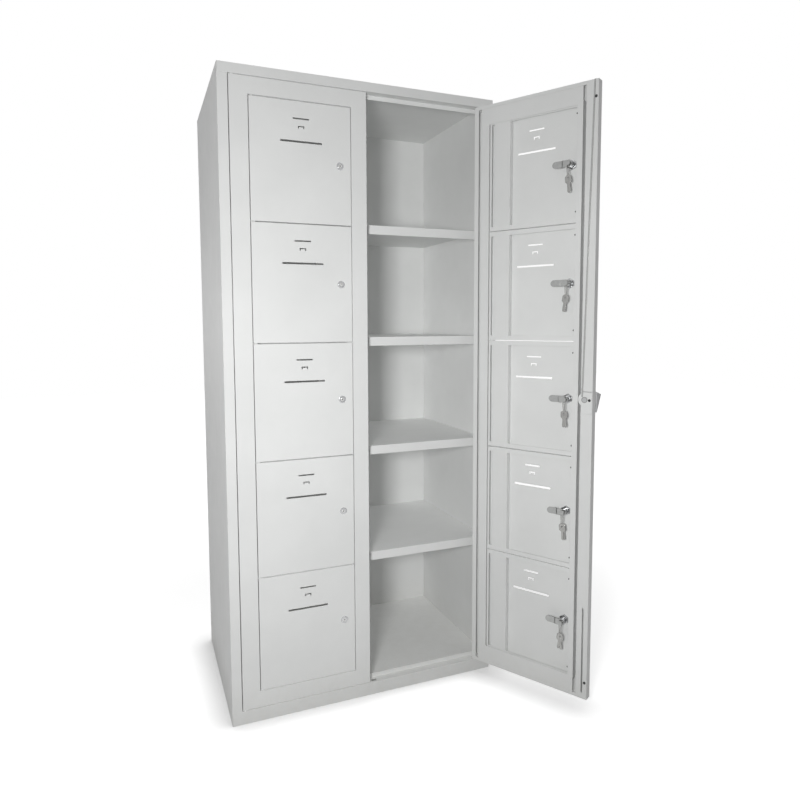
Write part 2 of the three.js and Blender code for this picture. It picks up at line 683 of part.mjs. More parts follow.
function smallDoor(leaf, tier) {
  const top = doorTop(tier);
  const bottom = doorBottom(tier);
  const flange = DOOR_DEPTH - DOOR_SHEET;
  const slotStart = DOOR_START + DOOR_HINGE_SLOT_INSET;
  const boxEnd = DOOR_START + DOOR_HINGE_BOX;
  const inset = DOOR_SHEET;
  const low = bottom + DOOR_RETURN;
  const high = top - DOOR_RETURN;
  const rear = DOOR_DEPTH + CUT_OVER;
  const shell = cut(leafBlock(leaf, DOOR_START, DOOR_END, 0, DOOR_DEPTH, bottom, top), [
    leafBlock(leaf, DOOR_START + inset, DOOR_END - inset, inset, flange, bottom + inset, top - inset),
    leafBlock(leaf, boxEnd, DOOR_END - DOOR_RETURN, DOOR_DEPTH / 2, rear, low, high),
    leafBlock(leaf, slotStart, slotStart + DOOR_HINGE_SLOT, DOOR_DEPTH / 2, rear, low, high),
  ]);
  const webEnd = DOOR_DEPTH - inset / 2;
  const pan = shell.add(
    leafBlock(
      leaf,
      boxEnd - inset,
      boxEnd - LAP,
      DOOR_HINGE_BOX_GAP,
      webEnd,
      bottom + inset / 2,
      top - inset / 2,
    ),
  );
  const pinHole = DOOR_PIN_RADIUS + PIN_CLEARANCE;
  const barrelHole = BARREL_RADIUS + BARREL_CLEARANCE;
  const labelHalf = LABEL_SLOT_WIDTH / 2;
  const labelLevel = top - LABEL_SLOT_DROP;
  const tabHalf = TAB_WIDTH / 2;
  const tabTop = top - TAB_DROP;
  const tabBottom = tabTop - TAB_LEG;
  const legCut = (s) => leafBlock(leaf, s, s + TAB_CUT, -CUT_OVER, 2 * DOOR_SHEET, tabBottom, tabTop);
  return cut(pan, [
    leafPin(leaf, DOOR_PIN, DOOR_PIN_DEPTH, pinHole, top - 2 * DOOR_SHEET, top + CUT_OVER),
    leafPin(leaf, DOOR_PIN, DOOR_PIN_DEPTH, pinHole, bottom - CUT_OVER, bottom + 2 * DOOR_SHEET),
    leafRound(leaf, LOCK_AXIS, lockLevel(tier), barrelHole, -CUT_OVER, 2 * DOOR_SHEET),
    slotCut(leaf, LABEL_SLOT_WIDTH, LABEL_SLOT_HEIGHT, labelLevel),
    slotCut(leaf, LETTER_SLOT_WIDTH, LETTER_SLOT_HEIGHT, top - LETTER_SLOT_DROP),
    slotCut(leaf, TAB_WIDTH, TAB_CUT, tabTop - TAB_CUT / 2),
    legCut(DOOR_MIDDLE - tabHalf),
    legCut(DOOR_MIDDLE + tabHalf - TAB_CUT),
    leafBlock(
      leaf,
      DOOR_MIDDLE - labelHalf,
      DOOR_MIDDLE + labelHalf,
      -CUT_OVER,
      LABEL_RECESS_DEPTH,
      labelLevel - LABEL_RECESS_HEIGHT,
      labelLevel,
    ),
  ]);
}

function lockBarrel(leaf, tier) {
  const level = lockLevel(tier);
  const nutStart = DOOR_SHEET + SEAM;
  const body = join([
    leafRound(leaf, LOCK_AXIS, level, LOCK_HEAD_RADIUS, -LOCK_HEAD_PROUD, -SEAM),
    leafRound(leaf, LOCK_AXIS, level, BARREL_RADIUS, -LOCK_HEAD_PROUD / 2, BARREL_END),
    leafRound(leaf, LOCK_AXIS, level, NUT_RADIUS, nutStart, nutStart + NUT_THICKNESS, NUT_SIDES),
  ]);
  const bore = PLUG_RADIUS + PLUG_CLEARANCE;
  const boreStart = -LOCK_HEAD_PROUD - CUT_OVER;
  return cut(body, [leafRound(leaf, LOCK_AXIS, level, bore, boreStart, BARREL_END + CUT_OVER)]);
}

// Plug, cam pointing to the hinge side and cranked towards the frame's lip, and the screw that holds it.
function lockCam(leaf, tier) {
  const level = lockLevel(tier);
  const x = leaf.x(LOCK_AXIS);
  const half = CAM_WIDTH / 2;
  const reach = (r) => x + leaf.side * r;
  const depths = (from) => [leaf.y(from), leaf.y(from + CAM_SHEET)];
  const [near, nearRear] = depths(CAM_START);
  const [far, farRear] = depths(CAM_TIP_START);
  const bend = CAM_SHEET / 3;
  const strip = [
    [reach(-CAM_WIDTH), near],
    [reach(CAM_STEP_START), near],
    [reach(CAM_STEP_END), far],
    [reach(CAM_LENGTH + half), far],
    [reach(CAM_LENGTH + half), farRear],
    [reach(CAM_STEP_END + bend), farRear],
    [reach(CAM_STEP_START + bend), nearRear],
    [reach(-CAM_WIDTH), nearRear],
  ];
  const outline = roundEnded(new THREE.Shape(), x, level, reach(CAM_LENGTH - half), level, half);
  const tall = uprightExtrusion(strip, level - CAM_WIDTH, level + CAM_WIDTH);
  const plate = tall.intersect(deepExtrusion(outline, far - CUT_OVER, nearRear + CUT_OVER));
  const plugFront = -LOCK_HEAD_PROUD + SEAM;
  const plug = cut(leafRound(leaf, LOCK_AXIS, level, PLUG_RADIUS, plugFront, STUB_START - CAM_SHEET / 2), [
    block(
      x - KEYWAY_WIDTH / 2,
      x + KEYWAY_WIDTH / 2,
      leaf.y(plugFront - CUT_OVER),
      leaf.y(plugFront + KEYWAY_DEPTH),
      level - KEYWAY_HEIGHT / 2,
      level + KEYWAY_HEIGHT / 2,
    ),
  ]);
  const headStart = STUB_START + STUB_LENGTH;
  const headEnd = headStart + SCREW_HEAD_THICKNESS;
  const stubFrom = STUB_START - CAM_SHEET / 4;
  const stubTo = headStart + SCREW_HEAD_THICKNESS / 2;
  return join([
    plug,
    plate,
    leafRound(leaf, LOCK_AXIS, level, STUB_RADIUS, stubFrom, stubTo),
    leafRound(leaf, LOCK_AXIS, level, SCREW_HEAD_RADIUS, headStart, headEnd),
  ]);
}

// A wire loop round the cam's screw, with two keys hanging from it.
function keySet(leaf, tier) {
  const level = lockLevel(tier);
  const x = leaf.x(LOCK_AXIS);
  const nose = level - KEY_LOOP_LENGTH;
  const inner = STUB_RADIUS + KEY_LOOP_CLEARANCE;
  const outer = inner + KEY_LOOP_WIRE;
  const outline = drop(new THREE.Shape(), x, level, outer, nose, KEY_LOOP_NOSE + KEY_LOOP_WIRE);
  outline.holes.push(drop(new THREE.Path(), x, level, inner, nose, KEY_LOOP_NOSE));
  const start = STUB_START + KEY_LOOP_LIFT;
  const loop = deepExtrusion(outline, leaf.y(start), leaf.y(start + KEY_LOOP_WIRE));
  const middle = start + KEY_LOOP_WIRE / 2;
  const keys = KEY_FAN_DEG[tier - 1].map((fan, index) => {
    const from = middle + (index - 1) * KEY_SHEET + (index - 0.5) * SEAM;
    return key(x, level, leaf.side * fan, leaf.y(from), leaf.y(from + KEY_SHEET));
  });
  return join([loop, ...keys]);
}

function key(x, level, fanDeg, y0, y1) {
  const half = KEY_BOW_WIDTH / 2;
  const blade = KEY_BLADE_WIDTH / 2;
  const low = -KEY_BOW_TOP - KEY_BOW_HEIGHT;
  const corners = [
    [-half + KEY_BOW_CORNER, -KEY_BOW_TOP],
    [half - KEY_BOW_CORNER, -KEY_BOW_TOP],
    [half, -KEY_BOW_TOP - KEY_BOW_CORNER],
    [half, low + KEY_BOW_CORNER],
    [half - KEY_BOW_CORNER, low],
    [blade, low],
    [blade, -KEY_LENGTH + blade],
    [0, -KEY_LENGTH],
    [-blade, -KEY_LENGTH + blade],
    [-blade, low],
    [-half + KEY_BOW_CORNER, low],
    [-half, low + KEY_BOW_CORNER],
    [-half, -KEY_BOW_TOP - KEY_BOW_CORNER],
  ];
  const turn = THREE.MathUtils.degToRad(fanDeg);
  const hung = new THREE.Vector2(x, level - KEY_LOOP_LENGTH);
  const turned = (px, pz) => new THREE.Vector2(x + px, level + pz).rotateAround(hung, turn);
  const shape = new THREE.Shape(corners.map(([px, pz]) => turned(px, pz)));
  const centre = turned(0, -KEY_BOW_TOP - KEY_HOLE_DROP);
  const hole = new THREE.Path().absarc(centre.x, centre.y, KEY_HOLE_RADIUS, 0, 2 * Math.PI, false);
  shape.holes.push(hole);
  return deepExtrusion(shape, y0, y1);
}

// Handle, hub, rods and lock plate of the right leaf
function handle(leaf) {
  const z = HANDLE_LEVEL;
  const wedge = [
    [leaf.y(-HANDLE_STANDOFF), z - HANDLE_BELOW],
    [leaf.y(-HANDLE_TOE), z - HANDLE_BELOW],
    [leaf.y(-HANDLE_PROUD), z + HANDLE_ABOVE - HANDLE_CHAMFER],
    [leaf.y(-HANDLE_PROUD + HANDLE_CHAMFER), z + HANDLE_ABOVE],
    [leaf.y(-HANDLE_STANDOFF), z + HANDLE_ABOVE + HANDLE_TOP_FALL],
  ];
  const middle = leaf.x(HANDLE_AXIS);
  const half = HANDLE_WIDTH / 2;
  const neckStart = -HANDLE_STANDOFF - HANDLE_NECK_LAP;
  return join([
    sideExtrusion(wedge, middle - half, middle + half),
    leafRound(leaf, HANDLE_AXIS, z, HANDLE_NECK_RADIUS, neckStart, -SEAM),
    leafRound(leaf, HANDLE_AXIS, z, SPINDLE_RADIUS, neckStart - HANDLE_NECK_LAP, SPINDLE_END),
  ]);
}

function lockHub(leaf) {
  const z = HANDLE_LEVEL;
  const body = join([
    leafRound(leaf, HANDLE_AXIS, z, CRANK_DISC_RADIUS, CRANK_START, CRANK_START + CRANK_THICKNESS),
    leafRound(leaf, HANDLE_AXIS, z, HUB_NECK_RADIUS, CRANK_START + LAP, SPINDLE_END - LAP),
    leafRound(leaf, HANDLE_AXIS, z, HUB_DISC_RADIUS, HUB_DISC_START, SPINDLE_END),
  ]);
  const bore = SPINDLE_RADIUS + SPINDLE_CLEARANCE;
  return cut(body, [leafRound(leaf, HANDLE_AXIS, z, bore, CRANK_START - CUT_OVER, SPINDLE_END + CUT_OVER)]);
}

// A straight rod of a given section from the hub's side to the leaf's end.
function rod(leaf, hubInset, hubLevel, endInset, endLevel, width, d0, d1) {
  const x0 = leaf.x(LEAF_WIDTH - hubInset);
  const x1 = leaf.x(LEAF_WIDTH - endInset);
  const length = Math.hypot(x1 - x0, endLevel - hubLevel);
  const geometry = new THREE.BoxGeometry(width, d1 - d0, length);
  geometry.rotateY(Math.atan2(x1 - x0, endLevel - hubLevel));
  geometry.translate((x0 + x1) / 2, leaf.y((d0 + d1) / 2), (hubLevel + endLevel) / 2);
  return toSolid(geometry);
}

// The upper rod is a flat bar on the free edge's return flange.
function upperRod(leaf) {
  const low = HANDLE_LEVEL + BAR_HUB_RISE;
  const high = LEAF_TOP - ROD_SETBACK;
  return rod(leaf, BAR_HUB_INSET, low, BAR_TOP_INSET, high, BAR_WIDTH, BAR_START, BAR_END);
}

// The lower rod runs behind that flange.
function lowerRod(leaf) {
  const high = HANDLE_LEVEL + ROD_LAP;
  const low = LEAF_BOTTOM + ROD_SETBACK;
  const half = ROD_SIZE / 2;
  const hubInset = HANDLE_INSET - CRANK_RADIUS;
  return rod(leaf, hubInset, high, ROD_BOTTOM_INSET, low, ROD_SIZE, ROD_DEPTH - half, ROD_DEPTH + half);
}

// Plate set flush into the return flange, with a round bulge about the hub.
function lockPlate(leaf) {
  const start = LEAF_DEPTH - LEAF_SHEET;
  const left = LEAF_WIDTH - FREE_RETURN;
  const right = LEAF_WIDTH - LEAF_SHEET - SEAM;
  const round = (radius, d0, d1) => leafRound(leaf, HANDLE_AXIS, HANDLE_LEVEL, radius, d0, d1);
  const plate = leafBlock(leaf, left, right, start, LEAF_DEPTH, LOCK_PLATE_BOTTOM, LOCK_PLATE_TOP);
  const bulge = round(LOCK_PLATE_BULGE, start + LAP, LEAF_DEPTH - LAP);
  const hole = round(HUB_NECK_RADIUS + SPINDLE_CLEARANCE, start - CUT_OVER, LEAF_DEPTH + CUT_OVER);
  return cut(plate.add(bulge), [hole]);
}

for (const leaf of LEAVES) {
  addToLeaf(leaf, `master_door_${leaf.label}`, leafSkin(leaf), PAINT);
  addToLeaf(leaf, `inner_frame_${leaf.label}`, innerFrame(leaf), PAINT);
  for (let tier = 1; tier <= TIERS; tier += 1) {
    addToLeaf(leaf, `small_door_${leaf.label}_${tier}`, smallDoor(leaf, tier), PAINT);
    addToLeaf(leaf, `lock_barrel_${leaf.label}_${tier}`, lockBarrel(leaf, tier), CHROME);
    addToLeaf(leaf, `lock_cam_${leaf.label}_${tier}`, lockCam(leaf, tier), ZINC);
  }
}

const rightLeaf = LEAVES[1];
for (let tier = 1; tier <= TIERS; tier += 1) {
  addToLeaf(rightLeaf, `key_set_right_${tier}`, keySet(rightLeaf, tier), CHROME);
}
addToLeaf(rightLeaf, "handle", handle(rightLeaf), PLASTIC);
addToLeaf(rightLeaf, "lock_hub", lockHub(rightLeaf), ZINC);
addToLeaf(rightLeaf, "upper_rod", upperRod(rightLeaf), ZINC);
addToLeaf(rightLeaf, "lower_rod", lowerRod(rightLeaf), ZINC);
addToLeaf(rightLeaf, "lock_plate", lockPlate(rightLeaf), PAINT);

export default cabinet;
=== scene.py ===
"""Looks of a two-leaf steel mail locker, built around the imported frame.

Metres, +Z up, the front faces -Y. Every piece rides the body of the solid that it stands for.
"""

import logging
import math
from dataclasses import dataclass, field
from enum import Enum
from typing import Optional, Sequence

import bmesh
import bpy
from mathutils import Matrix, Vector


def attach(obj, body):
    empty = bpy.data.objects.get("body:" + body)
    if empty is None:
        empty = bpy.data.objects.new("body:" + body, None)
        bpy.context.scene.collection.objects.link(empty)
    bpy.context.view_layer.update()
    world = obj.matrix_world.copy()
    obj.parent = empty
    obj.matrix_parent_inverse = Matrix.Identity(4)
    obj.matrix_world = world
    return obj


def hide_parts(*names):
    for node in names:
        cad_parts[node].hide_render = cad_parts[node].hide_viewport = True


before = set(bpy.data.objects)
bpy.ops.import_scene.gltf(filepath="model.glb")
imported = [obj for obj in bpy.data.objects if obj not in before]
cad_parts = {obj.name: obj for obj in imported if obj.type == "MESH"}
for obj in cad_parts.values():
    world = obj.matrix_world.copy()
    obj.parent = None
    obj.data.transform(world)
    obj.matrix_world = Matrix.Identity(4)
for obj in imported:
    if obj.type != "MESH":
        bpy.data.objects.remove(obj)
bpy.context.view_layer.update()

LOG = logging.getLogger("mail_locker")
MM = 0.001
TIERS = range(1, 6)
Profile = tuple[tuple[float, float], ...]
FLAT = math.radians(0.4)
SHARP = math.radians(40.0)
WELD_M = 2e-6
SPIN_WELD_M = 1e-6
ROOM_FOR_EASING = 2.2
BEVEL_PROFILE = 0.5


class Slot(Enum):
    """Material slots of the record."""

    CARCASS = "carcass_paint"
    LEAF = "leaf_paint"
    BOX_DOOR = "box_door_paint"
    CHROME = "lock_chrome"
    ZINC = "zinc_steel"
    KEY = "key_steel"
    HANDLE = "handle_plastic"


def linear(hex_colour: str) -> tuple[float, float, float, float]:
    """Turns an sRGB hex colour into linear RGBA.

    Args:
        hex_colour: A colour such as "#d6d7d5".

    Returns:
        Red, green, blue and alpha, linear.
    """
    digits = hex_colour.lstrip("#")
    channels = [int(digits[i : i + 2], 16) / 255 for i in (0, 2, 4)]
    lin = [c / 12.92 if c <= 0.04045 else ((c + 0.055) / 1.055) ** 2.4 for c in channels]
    return (lin[0], lin[1], lin[2], 1.0)


def add_node(
    tree: bpy.types.NodeTree,
    kind: str,
    settings: Optional[dict] = None,
    inputs: Optional[dict] = None,
) -> bpy.types.Node:
    """Adds a node with its settings and links.

    Args:
        tree: Node tree that takes the node.
        kind: Node type.
        settings: Attributes to set on the node.
        inputs: Values or output sockets for the node's inputs, by name or index.

    Returns:
        The new node.
    """
    node = tree.nodes.new(kind)
    for key, value in (settings or {}).items():
        setattr(node, key, value)
    for key, value in (inputs or {}).items():
        if isinstance(value, bpy.types.NodeSocket):
            tree.links.new(value, node.inputs[key])
        else:
            node.inputs[key].default_value = value
    return node


def new_material(name: str) -> tuple[bpy.types.Material, bpy.types.NodeTree]:
    """Makes an empty node material.

    Args:
        name: Name of the material.

    Returns:
        The material and its cleared node tree.
    """
    material = bpy.data.materials.new(name)
    material.use_nodes = True
    material.node_tree.nodes.clear()
    return material, material.node_tree


def per_mm(size_mm: float) -> float:
    """Noise scale whose features are about this many millimetres wide."""
    return 1.0 / (size_mm * MM)


@dataclass(frozen=True)
class PowderCoat:
    """Light grey polyester powder coat on sheet steel: a matt film with a fine orange peel."""

    name: str
    colour: str
    cloud: str
    # Colour that the bottom darkens towards: dust and painted shade near the floor.
    dust_and_shade: str
    roughness: float = 0.46
    cloud_mm: float = 240.0
    patch_mm: float = 38.0
    peel_mm: float = 2.4
    peel_height_mm: float = 0.05
    peel_strength: float = 0.18
    # Height and share of that darkening at the bottom: dust and painted shade.
    dust_and_shade_height_m: float = 0.16
    dust_and_shade_share: float = 0.55
    ior: float = 1.5

    def build(self) -> bpy.types.Material:
        """Builds the material.

        Returns:
            The powder-coat material.
        """
        material, tree = new_material(self.name)
        place = add_node(tree, "ShaderNodeTexCoord").outputs["Object"]
        cloud = add_node(
            tree,
            "ShaderNodeTexNoise",
            inputs={"Vector": place, "Scale": per_mm(self.cloud_mm), "Detail": 4.0, "Roughness": 0.6},
        )
        share = add_node(
            tree,
            "ShaderNodeMapRange",
            inputs={"Value": cloud.outputs["Fac"], "From Min": 0.35, "From Max": 0.65},
        )
        body = add_node(
            tree,
            "ShaderNodeMix",
            {"data_type": "RGBA"},
            {"Factor": share.outputs["Result"], 6: linear(self.colour), 7: linear(self.cloud)},
        )
        # Dust and painted shade: the lowest hand's breadth darkens in patches towards a darker colour,
        # partly handling dust and partly painted shade near the floor.
        height = add_node(tree, "ShaderNodeSeparateXYZ", inputs={"Vector": place})
        low = add_node(
            tree,
            "ShaderNodeMapRange",
            {"interpolation_type": "SMOOTHSTEP"},
            {
                "Value": height.outputs["Z"],
                "From Min": self.dust_and_shade_height_m,
                "From Max": 0.0,
                "To Max": self.dust_and_shade_share,
            },
        )
        patch = add_node(
            tree,
            "ShaderNodeTexNoise",
            inputs={"Vector": place, "Scale": per_mm(self.patch_mm), "Detail": 5.0, "Roughness": 0.65},
        )
        dust_and_shade_mask = add_node(
            tree,
            "ShaderNodeMath",
            {"operation": "MULTIPLY"},
            {0: low.outputs["Result"], 1: patch.outputs["Fac"]},
        )
        colour = add_node(
            tree,
            "ShaderNodeMix",
            {"data_type": "RGBA"},
            {"Factor": dust_and_shade_mask.outputs["Value"], 6: body.outputs[2], 7: linear(self.dust_and_shade)},
        )
        # The film's gloss drifts where it was wiped.
        wiped = add_node(
            tree,
            "ShaderNodeMapRange",
            inputs={
                "Value": patch.outputs["Fac"],
                "From Min": 0.3,
                "From Max": 0.7,
                "To Min": self.roughness - 0.05,
                "To Max": self.roughness + 0.07,
            },
        )
        # Real orange peel is under a millimetre; drawn coarser so that it shows.
        peel = add_node(
            tree,
            "ShaderNodeTexNoise",
            inputs={"Vector": place, "Scale": per_mm(self.peel_mm), "Detail": 2.0},
        )
        bump = add_node(
            tree,
            "ShaderNodeBump",
            inputs={
                "Height": peel.outputs["Fac"],
                "Strength": self.peel_strength,
                "Distance": self.peel_height_mm * MM,
            },
        )
        shader = add_node(
            tree,
            "ShaderNodeBsdfPrincipled",
            inputs={
                "Base Color": colour.outputs[2],
                "Roughness": wiped.outputs["Result"],
                "Normal": bump.outputs["Normal"],
                "IOR": self.ior,
            },
        )
        add_node(tree, "ShaderNodeOutputMaterial", inputs={"Surface": shader.outputs["BSDF"]})
        return material


@dataclass(frozen=True)
class PlatedMetal:
    """Plated steel: chrome, zinc or nickel with handling haze and fine brushing."""

    name: str
    colour: str
    haze: str
    roughness: float
    smear_mm: float = 9.0
    brush_mm: float = 0.9
    brush_height_mm: float = 0.01
    brush_strength: float = 0.12
    stretch: tuple[float, float, float] = (1.0, 1.0, 6.0)

    def build(self) -> bpy.types.Material:
        """Builds the material.

        Returns:
            The plated-metal material.
        """
        material, tree = new_material(self.name)
        place = add_node(tree, "ShaderNodeTexCoord").outputs["Object"]
        smear = add_node(
            tree,
            "ShaderNodeTexNoise",
            inputs={"Vector": place, "Scale": per_mm(self.smear_mm), "Detail": 4.0, "Roughness": 0.6},
        )
        colour = add_node(
            tree,
            "ShaderNodeMix",
            {"data_type": "RGBA"},
            {"Factor": smear.outputs["Fac"], 6: linear(self.colour), 7: linear(self.haze)},
        )
        gloss = add_node(
            tree,
            "ShaderNodeMapRange",
            inputs={
                "Value": smear.outputs["Fac"],
                "From Min": 0.3,
                "From Max": 0.7,
                "To Min": self.roughness - 0.06,
                "To Max": self.roughness + 0.1,
            },
        )
        lengthwise = add_node(tree, "ShaderNodeMapping", inputs={"Vector": place, "Scale": self.stretch})
        brush = add_node(
            tree,
            "ShaderNodeTexNoise",
            inputs={"Vector": lengthwise.outputs["Vector"], "Scale": per_mm(self.brush_mm), "Detail": 2.0},
        )
        bump = add_node(
            tree,
            "ShaderNodeBump",
            inputs={
                "Height": brush.outputs["Fac"],
                "Strength": self.brush_strength,
                "Distance": self.brush_height_mm * MM,
            },
        )
        shader = add_node(
            tree,
            "ShaderNodeBsdfPrincipled",
            inputs={
                "Base Color": colour.outputs[2],
                "Metallic": 1.0,
                "Roughness": gloss.outputs["Result"],
                "Normal": bump.outputs["Normal"],
            },
        )
        add_node(tree, "ShaderNodeOutputMaterial", inputs={"Surface": shader.outputs["BSDF"]})
        return material


@dataclass(frozen=True)
class MouldedPolymer:
    """Moulded ABS or rubber: a spark-eroded satin skin that hands have polished in places."""

    name: str
    colour: str
    worn: str
    roughness: float
    hand_mm: float = 18.0
    grain_mm: float = 0.8
    grain_height_mm: float = 0.03
    grain_strength: float = 0.25
    ior: float = 1.5

    def build(self) -> bpy.types.Material:
        """Builds the material.

        Returns:
            The moulded-polymer material.
        """
        material, tree = new_material(self.name)
        place = add_node(tree, "ShaderNodeTexCoord").outputs["Object"]
        hand = add_node(
            tree,
            "ShaderNodeTexNoise",
            inputs={"Vector": place, "Scale": per_mm(self.hand_mm), "Detail": 4.0, "Roughness": 0.6},
        )
        colour = add_node(
            tree,
            "ShaderNodeMix",
            {"data_type": "RGBA"},
            {"Factor": hand.outputs["Fac"], 6: linear(self.colour), 7: linear(self.worn)},
        )
        gloss = add_node(
            tree,
            "ShaderNodeMapRange",
            inputs={
                "Value": hand.outputs["Fac"],
                "From Min": 0.3,
                "From Max": 0.7,
                "To Min": self.roughness + 0.06,
                "To Max": self.roughness - 0.08,
            },
        )
        grain = add_node(
            tree,
            "ShaderNodeTexNoise",
            inputs={"Vector": place, "Scale": per_mm(self.grain_mm), "Detail": 2.0},
        )
        bump = add_node(
            tree,
            "ShaderNodeBump",
            inputs={
                "Height": grain.outputs["Fac"],
                "Strength": self.grain_strength,
                "Distance": self.grain_height_mm * MM,
            },
        )
        shader = add_node(
            tree,
            "ShaderNodeBsdfPrincipled",
            inputs={
                "Base Color": colour.outputs[2],
                "Roughness": gloss.outputs["Result"],
                "Normal": bump.outputs["Normal"],
                "IOR": self.ior,
            },
        )
        add_node(tree, "ShaderNodeOutputMaterial", inputs={"Surface": shader.outputs["BSDF"]})
        return material


@dataclass
class Finishes:
    """All finishes of the locker, one material each."""

    carcass: bpy.types.Material = field(init=False)
    leaf: bpy.types.Material = field(init=False)
    box_door: bpy.types.Material = field(init=False)
    chrome: bpy.types.Material = field(init=False)
    zinc: bpy.types.Material = field(init=False)
    cap: bpy.types.Material = field(init=False)
    key: bpy.types.Material = field(init=False)
    handle: bpy.types.Material = field(init=False)
    rubber: bpy.types.Material = field(init=False)

    def __post_init__(self) -> None:
        """Builds the materials."""
        # Powder coat: a pale matt grey that drifts a little and shows soft, wide highlights. The third
        # colour is dust and painted shade near the floor.
        self.carcass = PowderCoat("carcass_powder_coat", "#dedfde", "#d9dad9", "#c3c2bd").build()
        self.leaf = PowderCoat("leaf_powder_coat", "#dfe0df", "#dadbda", "#c8c7c2").build()
        self.box_door = PowderCoat("box_door_powder_coat", "#e0e1e0", "#dbdcdb", "#cccbc6").build()
        # Satin chrome plate: clear but softened reflections on the turned lock barrels.
        self.chrome = PlatedMetal("satin_chrome", "#bebfc0", "#9a9b9c", 0.2).build()
        # Zinc plate gone dull: an even, neutral grey without sharp reflections.
        self.zinc = PlatedMetal("dull_zinc", "#a5a6a5", "#868786", 0.36, stretch=(1.0, 1.0, 1.0)).build()
        # Nickel: the lightest metal, seen as a pale ring on each plug, and greyer on handled keys.
        self.cap = PlatedMetal("satin_nickel_cap", "#cfcfce", "#bbbbba", 0.26).build()
        self.key = PlatedMetal("nickel_key", "#a8a8a6", "#7a7a78", 0.3).build()
        # Moulded ABS: an even satin grey. Moulded rubber: a near-black that barely shines.
        self.handle = MouldedPolymer("light_grey_abs", "#bcbdbe", "#b0b1b2", 0.46).build()
        self.rubber = MouldedPolymer("black_rubber", "#1b1b1c", "#2a2a2b", 0.66).build()


def shade(bm: bmesh.types.BMesh, rounds: Sequence[bmesh.types.BMFace] = (), degrees: float = 32.0) -> None:
    """Shades smooth, with sharp edges past an angle and where a round meets a flat.

    Args:
        bm: Mesh to shade.
        rounds: Faces of the eased edges, which shade among themselves.
        degrees: Angle between two faces past which their edge stays sharp.
    """
    limit = math.radians(degrees)
    eased = set(rounds)
    for face in bm.faces:
        face.smooth = True
    for edge in bm.edges:
        alike = len({face in eased for face in edge.link_faces}) == 1
        edge.smooth = len(edge.link_faces) == 2 and alike and edge.calc_face_angle(0.0) < limit


def finish_piece(
    name: str,
    bm: bmesh.types.BMesh,
    material: bpy.types.Material,
    body: str,
    replaced: Sequence[str] = (),
) -> bpy.types.Object:
    """Turns a bmesh into a piece that rides a body.

    Args:
        name: Name of the piece.
        bm: Mesh, with its place in its vertices; it is freed.
        material: Finish.
        body: Body that carries the piece.
        replaced: CAD nodes that the piece stands for.

    Returns:
        The new object.
    """
    mesh = bpy.data.meshes.new(name)
    bm.to_mesh(mesh)
    bm.free()
    mesh.materials.append(material)
    obj = bpy.data.objects.new(name, mesh)
    bpy.context.scene.collection.objects.link(obj)
    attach(obj, body)
    if replaced:
        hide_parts(*replaced)
    LOG.info("%s: %d faces on %s", name, len(mesh.polygons), body)
    return obj


def flat_regions(bm: bmesh.types.BMesh) -> list[list[bmesh.types.BMFace]]:
    """Gathers the triangles of each flat face of a solid.

    Args:
        bm: Merged mesh of a solid.

    Returns:
        The faces of each flat region.
    """
    regions = []
    left = set(bm.faces)
    while left:
        first = left.pop()
        region, edge_of = [first], [first]
        while edge_of:
            face = edge_of.pop()
            for edge in face.edges:
                for other in edge.link_faces:
                    if other in left and edge.calc_face_angle(0.0) < FLAT:
                        left.discard(other)
                        region.append(other)
                        edge_of.append(other)
        regions.append(region)
    return regions


def is_whole(region: Sequence[bmesh.types.BMFace]) -> bool:
    """Tells whether a flat region has no hole, so that it can become one face.

    Args:
        region: Faces of the region.

    Returns:
        True where the region is a plain disc.
    """
    verts = {vert for face in region for vert in face.verts}
    edges = {edge for face in region for edge in face.edges}
    return len(verts) - len(edges) + len(region) == 1


def breadth(region: Sequence[bmesh.types.BMFace]) -> float:
    """Measures the breadth of a flat region, as of a strip of its area and outline.

    Args:
        region: Faces of the region.

    Returns:
        The breadth in metres.
    """
    inside = set(region)
    rim = sum(
        edge.calc_length()
        for face in region
        for edge in face.edges
        if sum(other in inside for other in edge.link_faces) == 1
    )
    return 2 * sum(face.calc_area() for face in region) / rim if rim else 0.0


def eased_copy(node: str, width_mm: float, segments: int, least_mm: float = 1.5) -> bmesh.types.BMesh:
    """Copies a CAD solid with its edges eased, as folded or moulded edges are.

    Args:
        node: CAD node to copy.
        width_mm: Width of the eased edge.
        segments: Steps across the eased edge.
        least_mm: Shorter edges stay sharp.

    Returns:
        The eased mesh.
    """
    bm = bmesh.new()
    bm.from_mesh(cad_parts[node].data)
    bmesh.ops.remove_doubles(bm, verts=bm.verts, dist=WELD_M)
    # Only faces without a hole are made one face; the rest stay triangles.
    whole = [region for region in flat_regions(bm) if is_whole(region)]
    member = {face: index for index, region in enumerate(whole) for face in region}
    joins = [
        edge
        for edge in bm.edges
        if len({member.get(face) for face in edge.link_faces}) == 1 and edge.link_faces[0] in member
    ]
    bmesh.ops.dissolve_limit(bm, angle_limit=FLAT, verts=bm.verts, edges=joins)
    roomy = set()
    for region in flat_regions(bm):
        if breadth(region) > ROOM_FOR_EASING * width_mm * MM:
            roomy.update(region)
    eased = [
        edge
        for edge in bm.edges
        if len(edge.link_faces) == 2
        and edge.calc_length() > least_mm * MM
        and edge.calc_face_angle(0.0) > SHARP
        and all(face in roomy for face in edge.link_faces)
    ]
    result = bmesh.ops.bevel(
        bm,
        geom=eased,
        offset=width_mm * MM,
        offset_type="OFFSET",
        affect="EDGES",
        segments=segments,
        profile=BEVEL_PROFILE,
        clamp_overlap=False,
        material=-1,
    )
    shade(bm, result["faces"])
    return bm


